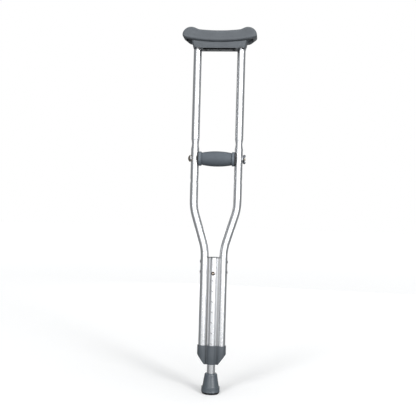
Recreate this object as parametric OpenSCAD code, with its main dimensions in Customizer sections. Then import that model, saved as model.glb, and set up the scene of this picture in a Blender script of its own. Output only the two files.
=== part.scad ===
// Underarm crutch with a push-button height setting and a bolted handgrip, at its shortest setting.
// It stands on its rubber tip: Z = 0 is the floor and the Z axis is the crutch's own centre line.
// X runs across the two uprights, with the bolt head at -X and the wing nut at +X.
// The snap button faces the front, at -Y. All sizes are in millimetres.

/* [Tubes] */
// Outside diameter of the uprights and the leg
tube_d = 22.2; // [19:0.1:25.4]
// Wall thickness of every tube
tube_wall = 1.3; // [1:0.1:2]
// Centre distance of the uprights beside the handgrip
grip_spacing = 120; // [112:1:150]
// Gap between each upright and the centre sleeve
upright_gap = 2.05; // [1:0.05:5]
// Height of the uprights' straight stretch above the bend
straight_run = 415; // [330:5:600]
// Bend radius of the uprights, to the tube's centre line
bend_r = 135; // [90:5:160]
// Angle that the uprights lean at in the middle of the bend
bend_angle = 17; // [14:0.5:20]

/* [Centre sleeve] */
// Wall thickness of the centre sleeve
sleeve_wall = 1.3; // [1:0.1:2.5]
// Length of the centre sleeve
sleeve_length = 287.6; // [250:0.2:420]
// Half depth of the webs that fill the valleys beside the sleeve
web_half_depth = 7; // [4:0.5:9]
// Number of height holes
height_holes = 7; // [4:1:9]
// Distance from one height hole to the next
height_pitch = 28.6; // [25.4:0.1:30]
// Distance from the sleeve's top end down to the first height hole
first_hole_drop = 44.1; // [40:0.1:60]
// Diameter of a side rivet's shank
rivet_d = 4.8; // [4:0.1:6]
// Distance from the sleeve's top end down to the upper side rivet
rivet_drop = 12.6; // [10:0.2:30]
// Distance from the upper side rivet to the lower one
rivet_pitch = 28; // [15:1:60]

/* [Bottom cap] */
// Height of the bottom cap
cap_height = 51; // [40:1:70]
// Height of the cap's slanted lower corners
cap_slant_height = 27.5; // [18:0.5:30]
// Width of the cap's slanted lower corners
cap_slant_width = 20.5; // [16:0.5:24]
// Wall of the cap around the uprights
cap_wall = 2.45; // [2:0.05:4]
// Wall of the cap's middle lobe around the centre sleeve
cap_lobe_wall = 2.3; // [1.5:0.1:5]

/* [Leg and tip] */
// Diameter of the tip's base
tip_base_d = 50.8; // [44:0.2:60]
// Diameter of the tip's neck
tip_neck_d = 34.7; // [31:0.1:40]
// Height of the tip
tip_height = 55; // [45:1:70]
// Height of the tip's base ring
tip_ring_height = 19; // [14:0.5:24]
// Thickness of rubber under the steel washer
tip_sole = 12; // [8:0.5:16]
// Thickness of the steel washer in the tip
tip_washer_t = 2; // [1:0.5:3]
// Bare leg between the tip and the bottom cap at the shortest setting
leg_show = 25; // [15:1:60]
// Distance from the sleeve's top end down to the leg's top end
leg_top_drop = 16.6; // [12:0.2:24]

/* [Snap button] */
// Diameter of the snap button
button_d = 10.2; // [6:0.1:10.6]
// How far the button stands out of the sleeve
button_stand = 3.2; // [2:0.1:5]
// Length of the button spring below the button
spring_length = 38; // [25:1:50]
// Width of the button spring
spring_width = 7; // [5:0.5:8]
// Thickness of the button spring
spring_t = 0.8; // [0.5:0.1:1.2]

/* [Handgrip] */
// Height of the handgrip's bolt above the bend
grip_above_bend = 115.4; // [90:0.2:200]
// Number of handgrip holes above and below the middle one
grip_steps = 3; // [1:1:4]
// Distance from one handgrip hole to the next
grip_pitch = 20.25; // [19:0.25:30]
// Largest diameter of the handgrip
grip_d = 42; // [36:0.5:46]
// Diameter of the handgrip where it is thinnest
grip_neck_d = 35; // [32:0.5:36]
// Diameter of the handgrip's end collars
grip_collar_d = 39.3; // [38:0.1:44]
// Width of the handgrip's end collars
grip_collar_w = 8.2; // [6:0.2:10]
// Outside diameter of the plastic tube inside the handgrip
grip_core_d = 16; // [12:0.5:20]
// Diameter of the handgrip bolt
bolt_d = 6.3; // [5:0.1:8]
// Diameter of the bolt's domed head
bolt_head_d = 20.4; // [16:0.2:22]
// Height of the bolt's domed head
bolt_head_h = 6.3; // [4:0.1:8]
// Thickness of the curved washers at the tube's crown
washer_t = 1.6; // [1:0.1:3]
// Tip to tip span of the wing nut
wing_span = 26; // [22:0.5:34]

/* [Underarm pad] */
// How far the pad's ends reach past the uprights' centre lines
pad_past_tube = 41.3; // [38:0.1:60]
// Depth of the pad, front to back
pad_depth = 54; // [52:1:70]
// Thickness of the pad at its middle
pad_middle = 30.2; // [29:0.2:40]
// Radius of the pad's rounded ends
horn_r = 25; // [20:0.1:27]
// How far the ends' crests stand above the pad's middle
horn_rise = 9.6; // [4:0.1:16]
// Radius of the long curve of the pad's top and lower lip
pad_curve_r = 500; // [400:10:900]
// Soft wall between the pad's skin and the saddle inside it
pad_wall = 9; // [7:0.5:12]
// Open gap between the pad's lower lip and the saddle's neck
lip_gap = 3.5; // [2:0.1:6]
// Height of the saddle's neck at its middle
neck_height = 14.5; // [12:0.5:24]
// Depth of the saddle's neck at its lower edge
neck_depth = 46; // [40:1:50]
// How far the neck runs past the uprights' centre lines at its lower edge
neck_past_tube = 10.5; // [10:0.5:16]
// How much the neck widens at each end towards its top
neck_flare = 5.5; // [2:0.5:8]
// Depth of the saddle's stem and core
core_depth = 36; // [30:1:38]

/* [Fits] */
// Radial clearance of the leg in the centre sleeve
leg_play = 0.3; // [0.2:0.05:0.5]
// Radial clearance of a bush or a pin in its hole
pin_play = 0.05; // [0.03:0.01:0.1]
// Radial clearance of a tube in the plastic part that holds it
seat_play = 0.05; // [0.03:0.01:0.15]
// Gap between the handgrip's end saddles and the uprights
saddle_play = 0.25; // [0.2:0.05:0.5]

/* [Hidden] */
$fn = 96;
hull_fn = 32;
over = 1;
hair = 0.01;

// Tubes
tube_r = tube_d / 2;
bore_r = tube_r - tube_wall;
sleeve_bore_r = tube_r + leg_play;
sleeve_r = sleeve_bore_r + sleeve_wall;
foot_x = sleeve_r + upright_gap + tube_r;
grip_x = grip_spacing / 2;

// Heights of the main stations, from the floor up
cap_z = tip_height + leg_show;
cap_top_z = cap_z + cap_height;
cap_floor = 5;
sleeve_z = cap_z + cap_floor;
sleeve_top_z = sleeve_z + sleeve_length;
bend_start = 1.4;
bend_z = sleeve_top_z + bend_start;
bend_lean = (grip_x - foot_x - 2 * bend_r * (1 - cos(bend_angle))) / sin(bend_angle);
bend_top_z = bend_z + 2 * bend_r * sin(bend_angle) + bend_lean * cos(bend_angle);
grip_z = bend_top_z + grip_above_bend;
neck_z = bend_top_z + straight_run;
neck_top_z = neck_z + neck_height;
lip_z = neck_top_z + lip_gap;
dip_z = lip_z + pad_middle;
crest_z = dip_z + horn_rise;
tube_past_neck = 16;
tube_top_z = neck_top_z + tube_past_neck;

// Uprights: where they start in the cap, and their rolled waists
tube_end_wall = 3.8;
cap_half = foot_x + tube_r + cap_wall;
cap_foot_half = cap_half - cap_slant_width;
cap_lobe_r = sleeve_r + cap_lobe_wall;
cap_web_out = 2.5;
slant_z = cap_z + cap_slant_height;
tube_foot_z = slant_z - (cap_half - foot_x - tube_r) * cap_slant_height / cap_slant_width + tube_end_wall;
waist_fillet_r = 50;
bend_lap = 1;
bend_thinning = 0.1;
waist_depths = [[2, 1.7], [-3, 0.6]];

// Centre sleeve, leg and snap button
button_z = sleeve_top_z - first_hole_drop;
button_r = button_d / 2;
button_hole_r = button_r + 2 * pin_play;
button_dome = 1.7;
button_flange_r = button_r + 1.2;
button_flange_t = 1.2;
button_seat_y = sqrt(bore_r * bore_r - button_flange_r * button_flange_r) - 0.2;
button_tip_y = sleeve_r + button_stand;
spring_gap = 0.4;
leg_foot_z = tip_sole + tip_washer_t;
leg_top_z = sleeve_top_z - leg_top_drop;
bush_flange = 6;
bush_stem = 11;

// Side rivets and saddle screws
rivet_r = rivet_d / 2;
rivet_head_r = 1.6 * rivet_r;
rivet_head_h = 1.6;
rivet_end_x = sleeve_bore_r + 0.8;
rivet_hole_r = rivet_r + pin_play;
screw_r = 1.9;
screw_head_r = 4;
screw_head_h = 2.4;
screw_z = neck_z + 8;
screw_seat_y = neck_depth / 2 - 0.4;
screw_end_y = bore_r - 4;
screw_pocket = 10;
screw_head_play = 0.6;

// Handgrip
bolt_r = bolt_d / 2;
bolt_hole_r = bolt_r + 3 * pin_play;
grip_end_x = grip_x - tube_r + 0.9;
grip_skin = 1.5;
grip_hub_r = grip_neck_d / 2 - grip_skin;
grip_hub_x = grip_end_x - 6.8;
grip_neck_x = grip_end_x - grip_collar_w - 3.4;
grip_core_r = grip_core_d / 2;
collar_round = 2.2;
barrel_rise = (grip_d - grip_neck_d) / 2;
barrel_r = (grip_neck_x * grip_neck_x + barrel_rise * barrel_rise) / (2 * barrel_rise);
end_dome_r = 30;
end_dome_x = grip_end_x - sqrt(end_dome_r * end_dome_r - grip_collar_d * grip_collar_d / 4);
saddle_cut_r = tube_r + saddle_play;

// Grip bolt, washers and wing nut
seat_x = grip_x + tube_r + washer_t;
washer_r = 8;
head_dome_r = (bolt_head_d * bolt_head_d / 4 + bolt_head_h * bolt_head_h) / (2 * bolt_head_h);
nut_gap = 0.1;
nut_hub_r = 6.2;
nut_hub_h = 5.2;
nut_foot_x = seat_x + nut_gap;
ear_r = 3.5;
ear_t = 2.4;
ear_inset = 0.2;
ear_x = nut_foot_x + ear_r + ear_inset;
bolt_end_x = nut_foot_x + nut_hub_h + 1;

// Pad and saddle
pad_half = grip_x + pad_past_tube;
horn_x = pad_half - horn_r;
horn_z = crest_z - horn_r;
neck_half = grip_x + neck_past_tube;
neck_corner_r = 7;
neck_flare_y = 1.5;
neck_block_h = 1.6 * neck_height;
neck_wall = 3;
socket_r = tube_r + 3;
socket_arch = 3;
slot_half = grip_x - socket_r - 1;
slot_depth = neck_depth / 2 - neck_wall - 2;
stem_half = grip_x + socket_r - 0.5;
core_half = grip_x + socket_r + 1;
core_play = 0.2;
stem_sink = 4;
stem_lap = 5;
recess_x = 39;
recess_y = 6;
recess_r = 5;
recess_depth = neck_height - 4;
pocket_w = 15;
pocket_d = 28;
pocket_h = 22;
pocket_x = core_half + 3;
pocket_back = 16;

// ---- Shared shapes ----

// Turns a shape that stands along Z so that it lies along +X
module along_x() {
    rotate([0, 90, 0]) children();
}

// Turns a shape that stands along Z so that it points to the front, -Y
module to_front() {
    rotate([90, 0, 0]) children();
}

// Extrudes an outline drawn in X and Z through the given depth, centred on Y = 0
module through_depth(depth) {
    rotate([90, 0, 0]) linear_extrude(depth, center = true) children();
}

// Extrudes an outline drawn in Y and Z through the given width, centred on X = 0
module through_width(width) {
    rotate([90, 0, 90]) linear_extrude(width, center = true) children();
}

// Makes a copy on each side of the centre line
module both_sides() {
    children();
    mirror([1, 0, 0]) children();
}

// ---- Uprights ----

// Solid rod of radius r that follows the right upright from z0 to z1. The bends are drawn a hair thinner,
// and the straight stretches lap over their ends.
module upright_rod(r, z0, z1) {
    lean_x = foot_x + bend_r * (1 - cos(bend_angle));
    lean_z = bend_z + bend_r * sin(bend_angle);
    translate([foot_x, 0, z0]) cylinder(r = r, h = bend_z + bend_lap - z0);
    translate([foot_x + bend_r, 0, bend_z]) rotate([90, 0, 180])
        rotate_extrude(angle = bend_angle) translate([bend_r, 0]) circle(r - bend_thinning);
    translate([lean_x, 0, lean_z]) rotate([0, bend_angle, 0]) translate([0, 0, -bend_lap])
        cylinder(r = r, h = bend_lean + 2 * bend_lap);
    translate([grip_x - bend_r, 0, bend_top_z]) rotate([-90, 0, 0])
        rotate_extrude(angle = bend_angle) translate([bend_r, 0]) circle(r - bend_thinning);
    translate([grip_x, 0, bend_top_z - bend_lap]) cylinder(r = r, h = z1 - bend_top_z + bend_lap);
}

// Rounded rings that neck the tube in; wall makes them thicker for the bore
module waist_rings(wall) {
    for (waist = waist_depths)
        translate([grip_x, 0, grip_z + waist[0] * grip_pitch])
            rotate_extrude() translate([tube_r - waist[1] + waist_fillet_r, 0]) circle(waist_fillet_r + wall);
}

module upright() {
    difference() {
        difference() {
            upright_rod(tube_r, tube_foot_z, tube_top_z);
            waist_rings(0);
        }
        difference() {
            upright_rod(bore_r, tube_foot_z - over, tube_top_z + over);
            waist_rings(tube_wall);
        }
        for (step = [-grip_steps : grip_steps])
            translate([grip_x - tube_d, 0, grip_z + step * grip_pitch])
                along_x() cylinder(r = bolt_hole_r, h = 2 * tube_d);
        for (drop = [rivet_drop, rivet_drop + rivet_pitch])
            translate([foot_x - tube_d, 0, sleeve_top_z - drop])
                along_x() cylinder(r = rivet_hole_r, h = 2 * tube_d);
        translate([grip_x, tube_d, screw_z]) to_front() cylinder(r = screw_r + pin_play, h = tube_d);
    }
}

module left_upright() {
    color("silver") mirror([1, 0, 0]) upright();
}

module right_upright() {
    color("silver") upright();
}

// ---- Centre sleeve and bottom cap ----

// Section of the sleeve: a ring with webs that reach into the valleys beside the uprights
module sleeve_section(grow) {
    circle(sleeve_r + grow);
    difference() {
        square([2 * (foot_x - tube_r) + 2 * web_half_depth, 2 * (web_half_depth + grow)], center = true);
        for (side = [-1, 1])
            translate([side * foot_x, 0]) circle(tube_r + seat_play - grow);
    }
}

module centre_sleeve() {
    color("silver") difference() {
        translate([0, 0, sleeve_z]) linear_extrude(sleeve_length) difference() {
            sleeve_section(0);
            circle(sleeve_bore_r);
        }
        for (hole = [0 : height_holes - 1])
            translate([0, 0, button_z - hole * height_pitch]) to_front()
                cylinder(r = button_hole_r, h = 2 * sleeve_r);
        both_sides() for (drop = [rivet_drop, rivet_drop + rivet_pitch])
            translate([rivet_end_x - pin_play, 0, sleeve_top_z - drop]) along_x()
                cylinder(r = rivet_hole_r, h = tube_d);
    }
}

// Blind rivets that go through each upright into the sleeve's web, heads outwards
module sleeve_rivets() {
    head_x = foot_x + tube_r;
    dome_r = (rivet_head_r * rivet_head_r + rivet_head_h * rivet_head_h) / (2 * rivet_head_h);
    color("gray") both_sides() for (drop = [rivet_drop, rivet_drop + rivet_pitch])
        translate([0, 0, sleeve_top_z - drop]) along_x() rotate_extrude() {
            translate([0, rivet_end_x]) square([rivet_r, head_x - rivet_end_x + over]);
            intersection() {
                translate([0, head_x + rivet_head_h - dome_r]) circle(dome_r);
                translate([0, head_x]) square(rivet_head_r + over);
            }
        }
}

module bottom_cap() {
    color([0.38, 0.41, 0.44]) difference() {
        intersection() {
            translate([0, 0, cap_z]) linear_extrude(cap_height) {
                circle(cap_lobe_r);
                for (side = [-1, 1])
                    translate([side * foot_x, 0]) circle(tube_r + cap_wall);
                square([2 * foot_x, 2 * (web_half_depth + cap_web_out)], center = true);
            }
            through_depth(4 * cap_lobe_r) polygon([
                [-cap_foot_half, cap_z], [cap_foot_half, cap_z], [cap_half, slant_z], [cap_half, cap_top_z],
                [-cap_half, cap_top_z], [-cap_half, slant_z]
            ]);
        }
        translate([0, 0, cap_z - over]) cylinder(r = tube_r + leg_play / 2, h = cap_height);
        translate([0, 0, sleeve_z]) linear_extrude(cap_height) sleeve_section(seat_play);
        both_sides() translate([foot_x, 0, tube_foot_z]) cylinder(r = tube_r + seat_play, h = cap_height);
    }
}

// ---- Saddle and underarm pad ----

// Outline of the pad in X and Z, drawn in by the given inset
module pad_outline(inset) {
    intersection() {
        union() {
            for (side = [-1, 1])
                translate([side * horn_x, horn_z]) circle(horn_r - inset);
            difference() {
                translate([-horn_x, horn_z - horn_r + inset]) square([2 * horn_x, 2 * (horn_r - inset)]);
                translate([0, dip_z - inset + pad_curve_r]) circle(pad_curve_r, $fn = 360);
            }
        }
        translate([0, lip_z + inset + pad_curve_r]) circle(pad_curve_r, $fn = 360);
    }
}

// Core of the saddle inside the pad; grow adds the pad's play around it
module saddle_core(grow) {
    intersection() {
        through_depth(core_depth + 2 * grow) pad_outline(pad_wall - grow);
        cube([2 * (core_half + grow), pad_depth, 4 * crest_z], center = true);
    }
    translate([-stem_half - grow, -core_depth / 2 - grow, neck_top_z - stem_sink])
        cube([2 * (stem_half + grow), core_depth + 2 * grow, stem_sink + lip_gap + pad_wall + stem_lap]);
}

// The neck's flared block, before it is cut
module neck_block() {
    hull() for (level = [0, 1])
        for (x = [-1, 1])
            for (y = [-1, 1])
                translate([
                    x * (neck_half + level * neck_flare - neck_corner_r),
                    y * (neck_depth / 2 + level * neck_flare_y - neck_corner_r),
                    neck_z + level * neck_block_h
                ]) cylinder(r = neck_corner_r, h = 0.1, $fn = hull_fn);
}

module pad_saddle() {
    color([0.42, 0.45, 0.48]) difference() {
        union() {
            difference() {
                neck_block();
                translate([0, 0, neck_top_z + pad_curve_r + lip_gap]) to_front()
                    cylinder(r = pad_curve_r + lip_gap, h = 2 * pad_depth, center = true, $fn = 360);
                translate([-slot_half, neck_wall - neck_depth / 2, neck_z - over])
                    cube([2 * slot_half, slot_depth, neck_height - 2 * over]);
            }
            saddle_core(0);
        }
        both_sides() {
            translate([grip_x, 0, neck_z - over])
                cylinder(r = tube_r + seat_play, h = tube_top_z - neck_z + over + 1);
            translate([grip_x, 0, neck_z - socket_r + socket_arch]) to_front()
                cylinder(r = socket_r, h = neck_depth);
            translate([recess_x, recess_y, neck_z - over]) cylinder(r = recess_r, h = recess_depth);
            translate([grip_x, neck_depth, screw_z]) to_front()
                cylinder(r = screw_r + pin_play, h = neck_depth);
            translate([grip_x, screw_seat_y + screw_pocket, screw_z]) to_front()
                cylinder(r = screw_head_r + screw_head_play, h = screw_pocket);
        }
        translate([0, recess_y + 2, neck_z - over]) cylinder(r = recess_r / 2, h = recess_depth);
    }
}

// Screws from the back, through the saddle's sockets into the uprights
module saddle_screws() {
    color("gray") both_sides() translate([grip_x, 0, screw_z]) {
        translate([0, screw_seat_y, 0]) to_front() cylinder(r = screw_r, h = screw_seat_y - screw_end_y);
        intersection() {
            translate([0, screw_seat_y + screw_head_h, 0]) to_front()
                cylinder(r = screw_head_r, h = screw_head_h);
            translate([0, screw_seat_y + screw_head_h - 2 * screw_head_r, 0]) sphere(2 * screw_head_r);
        }
    }
}

module underarm_pad() {
    round_r = 5;
    round_drop = 4;
    color([0.44, 0.47, 0.5]) difference() {
        intersection() {
            through_depth(pad_depth) pad_outline(0);
            through_width(2 * pad_half + 2) {
                translate([-pad_depth / 2 + round_r, lip_z - pad_middle])
                    square([pad_depth - 2 * round_r, crest_z - lip_z + 2 * pad_middle]);
                translate([-pad_depth / 2, lip_z - pad_middle])
                    square([pad_depth, crest_z - lip_z + pad_middle - round_r - round_drop]);
                for (side = [-1, 1])
                    translate([side * (pad_depth / 2 - round_r), crest_z - round_r - round_drop])
                        circle(round_r);
            }
        }
        saddle_core(core_play);
        both_sides() translate([pocket_x, pocket_back - pocket_d, lip_z - over])
            cube([pocket_w, pocket_d, pocket_h]);
    }
}

// ---- Handgrip ----

// Half section of the handgrip's skin, radius along X and its length along Y
module grip_section() {
    intersection() {
        translate([grip_d / 2 - barrel_r, 0]) circle(barrel_r, $fn = 360);
        translate([0, -grip_neck_x - 1]) square([grip_d, 2 * grip_neck_x + 2]);
    }
    for (side = [-1, 1])
        translate([0, side * (grip_end_x - grip_collar_w / 2)]) {
            square([2 * (grip_collar_d / 2 - collar_round), grip_collar_w], center = true);
            translate([grip_collar_d / 4 + hair, 0])
                square([grip_collar_d / 2 - 2 * hair, grip_collar_w - 2 * collar_round], center = true);
            for (edge = [-1, 1])
                translate([grip_collar_d / 2 - collar_round, edge * (grip_collar_w / 2 - collar_round)])
                    circle(collar_round);
        }
    translate([0, -grip_end_x]) square([grip_neck_d / 2, 2 * grip_end_x]);
}

// Room for the two uprights, with the given radius
module upright_room(r) {
    both_sides() translate([grip_x, 0, grip_z - grip_d]) cylinder(r = r, h = 2 * grip_d);
}

module handgrip() {
    color([0.4, 0.43, 0.46]) difference() {
        translate([0, 0, grip_z]) along_x() rotate_extrude() intersection() {
            grip_section();
            translate([0, -2 * grip_end_x]) square([grip_d, 4 * grip_end_x]);
        }
        translate([0, 0, grip_z]) {
            along_x() cylinder(r = grip_core_r + pin_play, h = 2 * grip_x, center = true);
            both_sides() translate([grip_hub_x, 0, 0]) along_x()
                cylinder(r = grip_hub_r + pin_play, h = grip_x);
        }
        upright_room(saddle_cut_r);
    }
}

module grip_core() {
    color([0.25, 0.27, 0.29]) translate([0, 0, grip_z]) along_x() difference() {
        cylinder(r = grip_core_r, h = 2 * grip_hub_x, center = true);
        cylinder(r = bolt_hole_r, h = 2 * grip_hub_x + 2 * over, center = true);
    }
}

// End piece of the handgrip: a domed flange that straddles the upright, on a hub inside the grip
module grip_saddle() {
    difference() {
        translate([0, 0, grip_z]) along_x() rotate_extrude() difference() {
            union() {
                translate([0, grip_hub_x]) square([grip_hub_r, grip_end_x - grip_hub_x + over]);
                intersection() {
                    translate([0, end_dome_x]) circle(end_dome_r, $fn = 180);
                    translate([0, grip_end_x]) square(end_dome_r);
                }
            }
            translate([0, grip_hub_x - over]) square([bolt_hole_r, end_dome_r]);
        }
        upright_room(saddle_cut_r);
    }
}

module left_grip_saddle() {
    color([0.16, 0.17, 0.18]) mirror([1, 0, 0]) grip_saddle();
}

module right_grip_saddle() {
    color([0.16, 0.17, 0.18]) grip_saddle();
}

module grip_bolt() {
    color("lightgray") translate([0, 0, grip_z]) {
        translate([-seat_x, 0, 0]) along_x() cylinder(r = bolt_r, h = seat_x + bolt_end_x);
        intersection() {
            translate([head_dome_r - bolt_head_h - seat_x, 0, 0]) sphere(head_dome_r);
            translate([-seat_x - bolt_head_h, 0, 0]) along_x() cylinder(r = bolt_head_d / 2, h = bolt_head_h);
        }
    }
}

// Curved washers between the uprights and the bolt's head and nut
module grip_washers() {
    color("gray") both_sides() difference() {
        translate([grip_x, 0, grip_z]) along_x() cylinder(r = washer_r, h = seat_x - grip_x);
        translate([grip_x, 0, grip_z - 2 * washer_r]) cylinder(r = tube_r + 2 * pin_play, h = 4 * washer_r);
        translate([grip_x, 0, grip_z]) along_x() cylinder(r = bolt_hole_r, h = grip_x);
    }
}

module wing_nut() {
    color("gray") translate([0, 0, grip_z]) difference() {
        union() {
            translate([nut_foot_x, 0, 0]) along_x() cylinder(r = nut_hub_r, h = nut_hub_h);
            for (side = [-1, 1]) hull() {
                translate([ear_x, 0, side * (wing_span / 2 - ear_r)]) to_front()
                    cylinder(r = ear_r, h = ear_t, center = true, $fn = hull_fn);
                translate([nut_foot_x + nut_hub_h / 2, 0, side * nut_hub_r / 2]) to_front()
                    cylinder(r = nut_hub_h / 2 - ear_inset, h = ear_t, center = true, $fn = hull_fn);
            }
        }
        translate([nut_foot_x - over, 0, 0]) along_x() cylinder(r = bolt_r + pin_play, h = 3 * nut_hub_h);
    }
}

// ---- Leg, snap button and tip ----

module leg_tube() {
    color("silver") difference() {
        translate([0, 0, leg_foot_z]) cylinder(r = tube_r, h = leg_top_z - leg_foot_z);
        translate([0, 0, leg_foot_z - over]) cylinder(r = bore_r, h = leg_top_z);
        translate([0, 0, button_z]) to_front() cylinder(r = button_hole_r, h = tube_d);
    }
}

// Plastic bush that closes the leg's top end and centres it in the sleeve
module leg_top_bush() {
    color([0.2, 0.2, 0.2]) {
        translate([0, 0, leg_top_z]) cylinder(r = sleeve_bore_r - pin_play, h = bush_flange);
        translate([0, 0, leg_top_z - bush_stem]) cylinder(r = bore_r - pin_play, h = bush_stem);
    }
}

module snap_button() {
    dome_r = (button_r * button_r + button_dome * button_dome) / (2 * button_dome);
    color([0.7, 0.6, 0.5]) translate([0, 0, button_z]) to_front() {
        translate([0, 0, button_seat_y - button_flange_t]) cylinder(r = button_flange_r, h = button_flange_t);
        intersection() {
            translate([0, 0, button_seat_y]) cylinder(r = button_r, h = button_tip_y - button_seat_y);
            translate([0, 0, button_tip_y - dome_r]) sphere(dome_r);
        }
    }
}

// Bent strip spring: its front arm carries the button and its back arm bears on the leg's wall
module button_spring() {
    front_y = button_seat_y - button_flange_t;
    back_y = sqrt(bore_r * bore_r - spring_width * spring_width / 4) - spring_gap;
    turn_r = (front_y + back_y) / 2;
    color([0.75, 0.75, 0.78]) translate([0, back_y - turn_r, button_z]) through_width(spring_width) {
        translate([-turn_r, -spring_length]) square([spring_t, spring_length + button_r]);
        translate([turn_r - spring_t, -spring_length]) square([spring_t, spring_length - button_r]);
        translate([0, -spring_length]) difference() {
            circle(turn_r);
            circle(turn_r - spring_t);
            translate([-2 * turn_r, 0]) square(4 * turn_r);
        }
    }
}

module crutch_tip() {
    base_r = tip_base_d / 2;
    neck_r = tip_neck_d / 2;
    shoulder_r = 4;
    sole_in = 3;
    sole_rise = 5.5;
    ring_round = 1.8;
    ring_step = 2.6;
    ring_cove = 0.8;
    tread_rs = [8, 14];
    tread_w = 2;
    tread_depth = 1.2;
    color([0.37, 0.4, 0.43]) difference() {
        rotate_extrude() {
            polygon([
                [0, 0], [base_r - sole_in, 0], [base_r, sole_rise], [base_r, tip_ring_height - ring_round],
                [base_r - ring_round, tip_ring_height], [base_r - ring_step, tip_ring_height + ring_cove],
                [neck_r, tip_height - shoulder_r], [neck_r - shoulder_r, tip_height], [0, tip_height]
            ]);
            translate([neck_r - shoulder_r, tip_height - shoulder_r]) circle(shoulder_r);
        }
        translate([0, 0, leg_foot_z]) cylinder(r = tube_r + seat_play, h = tip_height);
        translate([0, 0, tip_sole]) cylinder(r = tube_r, h = tip_height);
        for (tread_r = tread_rs)
            translate([0, 0, -over]) difference() {
                cylinder(r = tread_r + tread_w, h = over + tread_depth);
                cylinder(r = tread_r, h = 2 * over + tread_depth);
            }
    }
}

module tip_washer() {
    color("gray") translate([0, 0, tip_sole]) cylinder(r = tube_r - seat_play, h = tip_washer_t);
}

left_upright();
right_upright();
centre_sleeve();
sleeve_rivets();
bottom_cap();
pad_saddle();
underarm_pad();
saddle_screws();
handgrip();
grip_core();
left_grip_saddle();
right_grip_saddle();
grip_bolt();
grip_washers();
wing_nut();
leg_tube();
leg_top_bush();
snap_button();
button_spring();
crutch_tip();
tip_washer();
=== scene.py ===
import math

import bpy
from mathutils import Matrix, Vector


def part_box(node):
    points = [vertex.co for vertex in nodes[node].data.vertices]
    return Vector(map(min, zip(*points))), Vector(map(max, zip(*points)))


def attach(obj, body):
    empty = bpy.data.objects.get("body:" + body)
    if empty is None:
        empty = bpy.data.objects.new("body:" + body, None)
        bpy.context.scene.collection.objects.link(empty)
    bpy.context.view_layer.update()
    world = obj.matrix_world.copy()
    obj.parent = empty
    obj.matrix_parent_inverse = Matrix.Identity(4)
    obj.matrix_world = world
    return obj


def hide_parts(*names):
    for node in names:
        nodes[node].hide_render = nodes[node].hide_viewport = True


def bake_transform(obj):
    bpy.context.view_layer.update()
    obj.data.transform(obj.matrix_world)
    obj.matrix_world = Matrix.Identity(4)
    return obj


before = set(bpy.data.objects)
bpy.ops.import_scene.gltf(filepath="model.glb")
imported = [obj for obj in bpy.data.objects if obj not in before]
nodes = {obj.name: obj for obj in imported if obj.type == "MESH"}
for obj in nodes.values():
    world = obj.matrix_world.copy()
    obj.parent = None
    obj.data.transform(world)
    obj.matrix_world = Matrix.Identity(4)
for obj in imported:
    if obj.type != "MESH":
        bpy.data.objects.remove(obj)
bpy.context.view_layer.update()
scene = bpy.context.scene
mm = 0.001

# ---- Camera ----
# A level camera stands in front of the crutch at the height of its middle, turned a few degrees towards the
# wing nut's side and rolled by a small angle, so that the crutch leans a little in the view.
camera_turn, camera_lean = math.radians(5.5), math.radians(1.57)
camera_back, camera_left, camera_height = 1.9, 0.0202, 0.5065
camera_place = (
    camera_back * math.sin(camera_turn) - camera_left * math.cos(camera_turn),
    -camera_back * math.cos(camera_turn) - camera_left * math.sin(camera_turn),
    camera_height,
)
camera = bpy.data.objects.new("camera", bpy.data.cameras.new("camera"))
camera.matrix_world = (
    Matrix.Translation(camera_place)
    @ Matrix.Rotation(camera_turn, 4, "Z")
    @ Matrix.Rotation(math.radians(90), 4, "X")
    @ Matrix.Rotation(camera_lean, 4, "Z")
)
camera.data.lens = 60
camera.data.sensor_width = 36
scene.collection.objects.link(camera)
scene.camera = camera

# ---- Studio floor and light ----
# A white paper floor that glows more with distance, and a surround that is seen white and lights dimly.
# Three tall soft boxes and two narrow strips stand in front, one box stands behind and one hangs
# overhead. Two low suns throw the soft shadows behind the foot.
scene.view_settings.view_transform = "Standard"
floor_size = 30
near_glow, far_glow, glow_reach = 0.05, 0.82, 3.6
room_strength = 0.26
key_rise = 26


def new_finish(name):
    """A node material: returns it with its nodes, its links, its shader and its Object coordinates."""
    material = bpy.data.materials.new(name)
    material.use_nodes = True
    tree = material.node_tree
    shader = tree.nodes["Principled BSDF"]
    place = tree.nodes.new("ShaderNodeTexCoord").outputs["Object"]
    return material, tree.nodes, tree.links, shader, place


bpy.ops.mesh.primitive_plane_add(size=floor_size, location=(0, 0, 0))
floor = bpy.context.object
floor.name = "studio_floor"
paper, paper_nodes, paper_links, paper_shader, paper_place = new_finish("white_paper")
paper_grain = paper_nodes.new("ShaderNodeTexNoise")
paper_grain.inputs["Scale"].default_value = 60
paper_tone = paper_nodes.new("ShaderNodeValToRGB")
paper_tone.color_ramp.elements[0].color = (0.90, 0.90, 0.90, 1)
paper_tone.color_ramp.elements[1].color = (0.93, 0.93, 0.93, 1)
paper_links.new(paper_place, paper_grain.inputs["Vector"])
paper_links.new(paper_grain.outputs["Fac"], paper_tone.inputs["Fac"])
paper_links.new(paper_tone.outputs["Color"], paper_shader.inputs["Base Color"])
paper_shader.inputs["Roughness"].default_value = 1
paper_shader.inputs["Specular IOR Level"].default_value = 0
paper_shader.inputs["Emission Color"].default_value = (1, 1, 1, 1)
paper_reach = paper_nodes.new("ShaderNodeVectorMath")
paper_reach.operation = "LENGTH"
paper_beyond = paper_nodes.new("ShaderNodeMath")
paper_beyond.inputs[1].default_value = glow_reach
paper_share = paper_nodes.new("ShaderNodeMath")
paper_share.operation = "DIVIDE"
paper_glow = paper_nodes.new("ShaderNodeMath")
paper_glow.operation = "MULTIPLY_ADD"
paper_glow.inputs[1].default_value = far_glow
paper_glow.inputs[2].default_value = near_glow
paper_links.new(paper_place, paper_reach.inputs[0])
paper_links.new(paper_reach.outputs["Value"], paper_beyond.inputs[0])
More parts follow.
